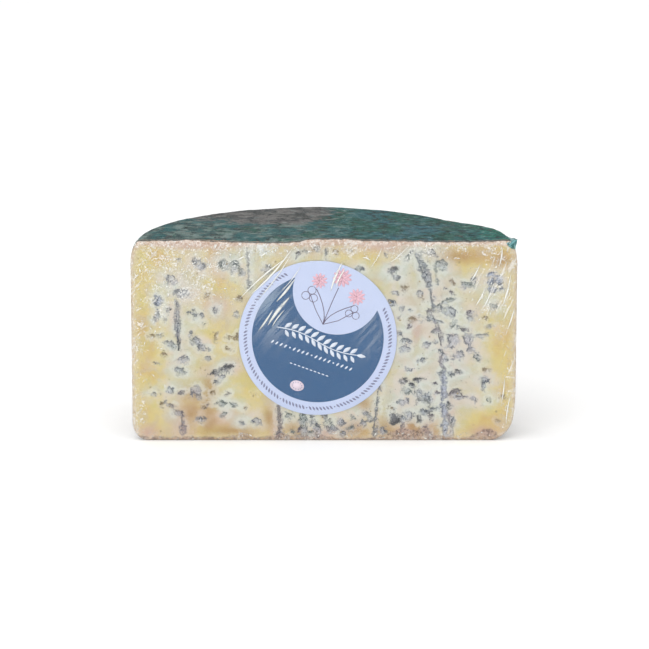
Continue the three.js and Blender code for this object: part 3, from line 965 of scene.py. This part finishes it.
def make_cheese(finishes):
    """Paste and rind in one piece: pits in the cut, mould fields for the finishes, low relief outside."""
    mesh, on_cut = half_wheel("cheese_body", CHEESE_CELL, CHEESE_DEPTH_CELL)
    places = vertex_vectors(mesh)
    across, deep, up = places.T.copy()
    rim = rim_distance(across, up)
    mould, fields, tint = mould_fields(across, up)
    mould = np.where(on_cut, mould, NO_MOULD)
    crusted = np.interp(across, *zip(*FOOT_CRUST))
    top = 0.3 * rise(up, HEIGHT - 60, HEIGHT - 12) + 0.9 * rise(up, HEIGHT - 15, HEIGHT - 3)
    brown_patch = np.exp(-((across + 28) / 45) ** 2) * rise(deep, 30, 70) * rise(-across, -16, 2)
    stains = {
        hue: STAIN_STRENGTH * np.maximum.reduce([spread(across, up, *where) for where in spots])
        for hue, spots in STAINS.items()
    }
    add_attributes(
        mesh,
        mould=mould,
        **{name: np.where(on_cut, values, 0) for name, values in fields.items()},
        rim=np.where(on_cut, rim, 0),
        tone=sum(tone * spread(across, up, *where) for tone, *where in TONES),
        **stains,
        foot=rise(crusted - up, -1.5, 1.5),
        crown=rise(up, HEIGHT - 6, HEIGHT - 1),
        top=np.where(on_cut, 0, top),
        east=rise(across, -40, 70),
        far_east=rise(across, 66, 92),
        brown_patch=brown_patch,
    )
    colours = mesh.attributes.new("mould_tint", "FLOAT_COLOR", "POINT")
    colours.data.foreach_set("color", tint.astype(np.float32).ravel())

    behind = np.where(on_cut, 0, rise(deep, 0, 4))
    ripple = clouds(places, 9) * 0.5 + clouds(places, 3.5, 5.0) * 0.3
    relief = ripple * rise(np.minimum(up, 6), 0, 6) * RIND_RELIEF - RIND_INSET
    places += vertex_vectors(mesh, "normal") * (relief * behind)[:, None]
    inset = np.where(on_cut, RIND_INSET, 0)
    places[:, 0] -= inset * np.sign(across) * rise(np.abs(across), 80, 95)
    places[:, 2] -= inset * rise(up, HEIGHT - 10, HEIGHT)
    places[:, 2] += crown_rise(places)

    ragged = mould + clouds(places, 2.2, 9.0) * 1.5
    pits = PIT_DEPTH * rise(-ragged, -0.6, 2.0) + PASTE_GRAIN * clouds(places, 2.6, 3.0)
    edge_drop = 1 - np.clip(rim / CUT_EDGE_ROUND, 0, 1)
    rounding = CUT_EDGE_ROUND * (1 - np.sqrt(np.clip(1 - edge_drop ** 2, 0, 1)))
    sunk = np.maximum(pits * rise(rim, 0.5, 3), 0) + rounding
    places[:, 1] += np.where(on_cut, sunk, 0) + CUT
    places[:, 2] = np.maximum(places[:, 2], CHEESE_LIFT)
    set_places(mesh, places)

    faces = np.empty(len(mesh.polygons) * 4, np.int32)
    mesh.polygons.foreach_get("vertices", faces)
    on_rind = ~on_cut[faces.reshape(-1, 4)].all(axis=1)
    piece = finished("cheese_body", mesh, finishes)
    mesh.polygons.foreach_set("material_index", on_rind.astype(np.int32))
    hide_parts("cheese")


def film_gap(across, up):
    """How far the film stands off the cut: more where it is lifted over the label."""
    away = np.hypot(across - LABEL_ACROSS, up - LABEL_UP)
    return FILM_GAP + FILM_TENT * rise(-away, -LABEL_RADIUS - FILM_TENT_REACH, -LABEL_RADIUS)


def wall_folds():
    """Folds running up the wall: where each starts round and up, its lean, length and half width."""
    draw = random.Random(FOLD_SEED)
    folds = []
    for _ in range(FOLD_COUNT):
        foot = draw.uniform(14, math.pi * RADIUS - 14)
        for _ in range(draw.choice((1, 1, 2, 3))):
            length = draw.uniform(14, 70)
            low = draw.choice((0, 0, 0, HEIGHT - 10 - length))
            folds.append((foot, low, draw.gauss(0, 0.28), length, draw.uniform(1.4, 2.4)))
            foot += draw.uniform(1, 6)
    return folds


def top_folds():
    """Folds running back over the top from the crown: start across, lean, length and half width."""
    draw = random.Random(FOLD_SEED + 1)
    folds = []
    for _ in range(TOP_FOLD_COUNT):
        start = draw.uniform(-88, 88)
        lean = -start / 150 + draw.gauss(0, 0.2)
        folds.append((start, lean, draw.uniform(14, 70), draw.uniform(1.4, 2.2)))
    return folds


def folded(across, deep, up):
    """How high each point of the wrap stands on a fold, from 0 to 1."""
    def ridge(value, middle, half_width):
        return np.maximum(0, 1 - np.abs(value - middle) / half_width)

    girth = np.arctan2(deep, across) * RADIUS
    fold = np.zeros(len(up))
    for foot, low, lean, length, width in wall_folds():
        climb = up - low
        share = np.clip(climb / length, 0, 1)
        middle = foot + lean * climb + FOLD_SWAY * np.sin(share * 4 + foot)
        ends = np.sin(np.pi * np.clip(share, 0.02, 0.98)) ** 0.5
        ends *= np.abs(climb - length / 2) < length / 2
        fold = np.maximum(fold, ridge(girth, middle, width) * ends)
    lap = LAP_UP + LAP_CLIMB * (girth - LAP_MIDDLE) + LAP_SWAY * np.sin(girth / 23)
    fold = np.maximum(fold, LAP_SHARE * ridge(up, lap, LAP_HALF_WIDTH))
    fold *= rise(np.hypot(across, deep), 82, 97) * rise(deep, 3, 12)
    for start, lean, length, width in top_folds():
        middle = start + lean * deep + TOP_FOLD_SWAY * np.sin(deep / 11 + start)
        ends = rise(deep, 0, 5) * rise(-deep, -length, -length * 0.5)
        laid = ridge(across, middle, width) * ends * TOP_FOLD_SHARE
        fold = np.maximum(fold, laid * rise(up, HEIGHT - 6, HEIGHT - 3))
    return fold


def make_film(finish):
    """The wrap: a closed skin just outside everything, gathered at its edges."""
    mesh, on_cut = half_wheel("film_wrap", FILM_CELL, FILM_DEPTH_CELL)
    places = vertex_vectors(mesh)
    across, deep, up = places.T.copy()

    def spot(*where):
        return spread(across, up, *where)

    low_edge = rise(-up, -7, -2)
    front = np.maximum.reduce([
        spot(-78, 90, 44, 30),
        rise(up, HEIGHT - 14, HEIGHT - 4) * 0.75,
        spot(92, 84, 20, 40) * 0.7,
        low_edge * 0.25,
        rise(np.abs(across), 88, 99) * 0.7,
    ])
    on_wall = rise(HEIGHT - up, 2, 16)
    behind = (0.3 + 0.4 * low_edge) * on_wall + 0.12 * (1 - on_wall)
    crinkled = np.where(on_cut, 0.08 + 0.92 * front * rise(HEIGHT - up, 0.4, 1.6), behind)
    # Patches of the cut where painted reflections streak the film.
    veil = np.maximum.reduce([
        spot(-27, 70, 15, 24), 0.5 * spot(-30, 96, 16, 14), 0.6 * spot(24, 58, 10, 20),
    ])
    fold = folded(across, deep, up)
    add_attributes(
        mesh, crinkled=crinkled, wall=np.where(on_cut, 0, on_wall), lean=rise(across, 10, 50),
        veil=np.where(on_cut, veil, 0), fold=fold,
    )

    edge_away = rim_distance(across, up)
    waves = clouds(np.column_stack([(across + up) / 12, (up - across) / 2.2, deep / 6]), 1)
    lift = np.where(on_cut, film_gap(across, up) * rise(edge_away, -0.5, 3), FILM_SKIN)
    lift += waves * CRINKLE_HEIGHT * crinkled + fold * FOLD_HEIGHT
    places[:, 2] += crown_rise(places)
    places += vertex_vectors(mesh, "normal") * np.maximum(lift, 0)[:, None]
    places[:, 1] += CUT
    places[:, 2] = np.maximum(places[:, 2], FILM_FLOOR)
    set_places(mesh, places)
    finished("film_wrap", mesh, [finish])


def drawn_strip(shape, points, thickness, proud):
    """Adds a closed flat strip on the cut face along points of (across, up, width)."""
    last = len(points) - 1
    end_face = None
    for index, (x, z, width) in enumerate(points):
        before = points[max(0, index - 1)]
        after = points[min(last, index + 1)]
        run = Vector((after[0] - before[0], after[1] - before[1])).normalized()
        side = Vector((-run.y, run.x)) * width / 2
        front = CUT - proud(x, z)
        corners = [
            Vector((x + sign * side.x, front - depth, z + sign * side.y))
            for sign, depth in ((1, 0), (-1, 0), (-1, thickness), (1, thickness))
        ]
        if end_face is None:
            end_face = shape.faces.new([shape.verts.new(corner) for corner in corners])
            continue
        made = bmesh.ops.extrude_face_region(shape, geom=[end_face], use_keep_orig=True)
        face = next(item for item in made["geom"] if isinstance(item, bmesh.types.BMFace))
        for vertex, corner in zip(face.verts, corners):
            vertex.co = corner
        if index > 1:
            shape.faces.remove(end_face)
        end_face = face


def bowed(x, z, x_end, z_end, width, bow, steps=5):
    """Points of a crease that bows to one side, widest at its middle and thin at its ends."""
    run = Vector((x_end - x, z_end - z))
    side = Vector((-run.y, run.x)).normalized()
    points = []
    for step in range(steps + 1):
        share = step / steps
        arch = math.sin(math.pi * share)
        place = Vector((x, z)) + run * share + side * bow * arch
        points.append((place.x, place.y, width * (0.15 + 0.85 * arch)))
    return points


def make_creases(finish):
    """The film's creases, lying on the wrap as strips whose white finish is a painted highlight."""
    shape = bmesh.new()

    def on_film(x, z):
        return float(film_gap(np.array(x), np.array(z))) - CREASE_SUNK

    for crease in CREASES:
        drawn_strip(shape, bowed(*crease), CREASE_THICKNESS, on_film)
    draw = random.Random(GLINT_SEED)
    for across, up, spread_across, spread_up, count, lean, lean_spread in GLINTS:
        for _ in range(count):
            x = draw.gauss(across, spread_across / 2)
            z = draw.gauss(up, spread_up / 2)
            length = draw.uniform(0.6, 2.4)
            width = draw.uniform(0.35, 0.8)
            cos, sin = ways(draw.gauss(lean, lean_spread))
            bow = draw.uniform(-0.5, 0.5)
            x_end, z_end = x + length * cos, z + length * sin
            inside = max(abs(x), abs(x_end)) < RADIUS - 1.5
            if inside and 1 < min(z, z_end) and max(z, z_end) < HEIGHT - 1:
                crease = bowed(x, z, x_end, z_end, width, bow, 2)
                drawn_strip(shape, crease, GLINT_THICKNESS, on_film)
    finished("film_creases", mesh_of(shape, "film_creases"), [finish])


def make_ear(finish):
    """The film's gathered corner: a pleated web from the right shoulder's rim to a point off the cut."""
    shape = bmesh.new()
    made = bmesh.ops.create_grid(shape, x_segments=24, y_segments=6, size=0.5)
    for vertex in made["verts"]:
        along, reach = vertex.co.x + 0.5, vertex.co.y + 0.5
        spot = (len(EAR_ROOT) - 1) * along
        index = min(int(spot), len(EAR_ROOT) - 2)
        inner = Vector(EAR_ROOT[index]).lerp(Vector(EAR_ROOT[index + 1]), spot - index)
        outer = Vector(EAR_EDGE[index]).lerp(Vector(EAR_EDGE[index + 1]), spot - index)
        place = inner.lerp(outer, reach)
        place.y += CUT + 0.35 * reach * math.sin(along * 40)
        place.z += 0.25 * reach * math.sin(along * 31)
        vertex.co = place
    bmesh.ops.solidify(shape, geom=shape.faces[:], thickness=EAR_THICKNESS)
    finished("film_ear", mesh_of(shape, "film_ear"), [finish])


def paper_proud(across, up):
    """How far the paper's front stands off the cut: it lies a little unevenly on the paste."""
    return LABEL_PROUD + PAPER_RIPPLE * swirl(Vector((across / 7, up / 40, 0.5)))


def make_label(finish):
    """The paper disc, ringed so that it can lie unevenly, with a softened edge."""
    shape = bmesh.new()
    bmesh.ops.create_cone(
        shape, cap_ends=True, segments=LABEL_SEGMENTS, radius1=LABEL_RADIUS, radius2=LABEL_RADIUS,
        depth=LABEL_THICKNESS,
    )
    rims = [edge for edge in shape.edges if abs(edge.verts[0].co.z - edge.verts[1].co.z) < SAME]
    bmesh.ops.bevel(
        shape, geom=rims, offset=LABEL_THICKNESS / 5, offset_type="OFFSET", affect="EDGES",
        segments=2, profile=0.5, material=-1,
    )
    caps = [face for face in shape.faces if len(face.verts) > 4]
    for _ in range(LABEL_RINGS):
        bmesh.ops.inset_region(shape, faces=caps, thickness=LABEL_RADIUS / (LABEL_RINGS + 1))
    for vertex in shape.verts:
        x, y, z = vertex.co
        across, up = LABEL_ACROSS + x, LABEL_UP + y
        back = paper_proud(across, up) - LABEL_THICKNESS / 2
        vertex.co = Vector((across, CUT - back - z, up))
    piece = finished("label_disc", mesh_of(shape, "label_disc"), [finish])
    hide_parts("label")


def on_label(across, up):
    """A point given along and above the print lines, as a point across and up on the cut."""
    cos, sin = ways(PRINT_TILT)
    return LABEL_ACROSS + across * cos + up * sin, LABEL_UP - across * sin + up * cos


def print_line(shape, points, width):
    """A printed line through points of the label."""
    run = [(*on_label(across, up), width) for across, up in points]
    drawn_strip(shape, run, PRINT_THICKNESS, paper_proud)


def print_leaf(shape, across, up, length, width, turn, pointed=1.0):
    """A printed leaf or dot round a point of the label: 0 pointed is an ellipse."""
    made = bmesh.ops.create_cone(
        shape, cap_ends=True, segments=PRINT_SEGMENTS, radius1=1, radius2=1, depth=PRINT_THICKNESS,
    )
    cos, sin = ways(turn)
    for vertex in made["verts"]:
        x, y, z = vertex.co
        y *= (1 - pointed) + pointed * (1 - abs(x)) ** 0.35
        x, y = x * length / 2, y * width / 2
        place_across, place_up = on_label(across + x * cos - y * sin, up + x * sin + y * cos)
        front = paper_proud(place_across, place_up) + PRINT_THICKNESS / 2
        vertex.co = Vector((place_across, CUT - front - z, place_up))


def finished_print(name, shape, finish):
    finished(name, mesh_of(shape, name), [finish])


def make_branch(ink):
    """A leafy branch across the dark field, with a row of seeds and one of dashes under it."""
    shape = bmesh.new()
    stem = []
    for step in range(BRANCH_STEPS + 1):
        up = BRANCH_UP + BRANCH_SWAY * math.sin(step / BRANCH_STEPS * math.pi * 2)
        stem.append((-BRANCH_LENGTH / 2 + BRANCH_LENGTH * step / BRANCH_STEPS, up))
    print_line(shape, stem, BRANCH_WIDTH)
    for index, (across, up) in enumerate(stem[1:-1]):
        size = 5.4 - 0.16 * abs(index - 5)
        print_leaf(shape, across + 1.6, up + 2.3, size, 2.1, 52)
        print_leaf(shape, across + 2.4, up - 2.1, size * 0.9, 1.9, -46)
    print_leaf(shape, 24.4, -1.2, 5, 2.1, 8)
    for index in range(SEEDS):
        length = 2.2 if index % 5 < 4 else 0.9
        print_leaf(shape, SEED_ACROSS + index * SEED_PITCH, SEED_UP, length, 0.9, 62, 0.3)
    for index in range(DASHES):
        print_leaf(shape, DASH_ACROSS + index * DASH_PITCH, DASH_UP, 1.5, 0.6, 0, 0.2)
    finished_print("label_branch", shape, ink)


def make_clover(stem_ink, blossom_ink):
    """A clover posy in the pale field: plum stems and leaf outlines, pink blossoms."""
    stems = bmesh.new()
    blossoms = bmesh.new()
    foot_across, foot_up = POSY_FOOT
    for across, up, size in BLOSSOMS:
        bend = [
            (foot_across + (across - foot_across) * share ** 1.8, foot_up + (up - size - foot_up) * share)
            for share in (0, 0.2, 0.4, 0.6, 0.8, 1)
        ]
        print_line(stems, bend, STEM_WIDTH)
        for ring, petals in ((0.95, 11), (0.5, 6)):
            for petal in range(petals):
                turn = 360 * petal / petals + ring * 40
                place = on_circle(across, up, size * ring * 0.62, turn)
                print_leaf(blossoms, *place, size * 0.62, size * 0.3, turn, 0.4)
    for across, up, size in CLOVER_LEAVES:
        print_line(stems, [POSY_FOOT, (across * 0.55, up - 6.5), (across, up)], STALK_WIDTH)
        for turn in (90, 210, 330):
            middle = on_circle(across, up, size * 0.72, turn)
            outline = [on_circle(*middle, size * 0.62, turn + 25 * step) for step in range(15)]
            print_line(stems, outline, OUTLINE_WIDTH)
    finished_print("label_stems", stems, stem_ink)
    finished_print("label_blossoms", blossoms, blossom_ink)


def make_ring_marks(ink):
    """Small slanting leaves round the pale ring, which is left open at the top."""
    shape = bmesh.new()
    for index in range(RING_MARKS + 1):
        turn = RING_START + (RING_END - RING_START) * index / RING_MARKS
        place = on_circle(0, 0, (DARK_FIELD_RADIUS + LABEL_RADIUS) / 2, turn)
        if index % RING_GROUP == RING_GROUP // 2:
            print_leaf(shape, *place, 0.8, 0.8, turn, 0.0)
        else:
            print_leaf(shape, *place, 2.5, 1.0, turn + RING_LEAN, 0.8)
    finished_print("label_ring_marks", shape, ink)


def make_oval(rim_ink, field_ink):
    """A small blank oval near the foot of the label, edged with dots."""
    field = bmesh.new()
    print_leaf(field, OVAL_ACROSS, OVAL_UP, OVAL_LENGTH, OVAL_WIDTH, OVAL_TURN, 0.0)
    rim = bmesh.new()
    for turn in range(0, 360, 30):
        cos, sin = ways(turn)
        across, up = OVAL_ACROSS + DOTS_ACROSS * cos, OVAL_UP + DOTS_UP * sin
        print_leaf(rim, across, up, 0.7, 0.45, turn, 0.0)
    for vertex in rim.verts:
        vertex.co.y -= PRINT_THICKNESS
    finished_print("label_oval", field, field_ink)
    finished_print("label_oval_dots", rim, rim_ink)


def make_floor(finish):
    shape = bmesh.new()
    bmesh.ops.create_grid(shape, x_segments=1, y_segments=1, size=FLOOR_SIZE)
    bmesh.ops.translate(shape, verts=shape.verts, vec=(0, 0, -FLOOR_DROP))
    mesh = mesh_of(shape, "floor")
    set_places(mesh, vertex_vectors(mesh) * MM)
    mesh.materials.append(finish)
    placed("floor", mesh)


def aim(thing, place, target):
    thing.location = Vector(place)
    thing.rotation_euler = (Vector(target) - Vector(place)).to_track_quat("-Z", "Y").to_euler()


def light_up():
    """Soft daylight, a softbox and small lamps whose glints the film's creases catch, in a pale room."""
    for name, (place, width, height, power) in LAMPS.items():
        lamp = bpy.data.lights.new(name, "AREA")
        lamp.shape = "RECTANGLE"
        lamp.size = width
        lamp.size_y = height
        lamp.energy = power
        aim(placed(name, lamp), place, LIT_MIDDLE)
    daylight = bpy.data.lights.new("daylight", "SUN")
    daylight.energy = DAYLIGHT_STRENGTH
    daylight.angle = DAYLIGHT_SOFTNESS
    aim(placed("daylight", daylight), DAYLIGHT_FROM, LIT_MIDDLE)
    world = bpy.data.worlds.new("studio")
    bpy.context.scene.world = world
    world.use_nodes = True
    background = world.node_tree.nodes["Background"]
    background.inputs["Color"].default_value = (1, 1, 1, 1)
    background.inputs["Strength"].default_value = ROOM_STRENGTH
    bpy.context.scene.view_settings.view_transform = "Standard"


def add_camera():
    lens = bpy.data.cameras.new("camera")
    lens.lens = CAMERA_LENS
    lens.sensor_width = CAMERA_SENSOR
    camera = placed("camera", lens)
    centre = Vector((0, CUT * MM, CAMERA_HEIGHT))
    back = Vector((0, -math.cos(CAMERA_ELEVATION), math.sin(CAMERA_ELEVATION)))
    aim(camera, centre + back * CAMERA_DISTANCE, centre + Vector(CAMERA_AIM))
    bpy.context.scene.camera = camera


make_cheese([paste_finish(), rind_finish()])
make_film(film_finish())
make_creases(glint_finish())
make_label(label_finish())
pale_ink = ink_finish("pale_ink", (222, 228, 240), (190, 202, 220))
plum_ink = ink_finish("plum_ink", (92, 74, 100), (130, 116, 146))
rose_ink = ink_finish("rose_ink", (230, 180, 194), (222, 198, 214))
violet_ink = ink_finish("violet_ink", (126, 128, 158), (160, 164, 190))
blush_ink = ink_finish("blush_ink", (232, 214, 226), (216, 200, 216))
make_branch(pale_ink)
make_clover(plum_ink, rose_ink)
make_ring_marks(violet_ink)
make_oval(violet_ink, blush_ink)
make_ear(ear_finish())
make_floor(floor_finish())
light_up()
add_camera()
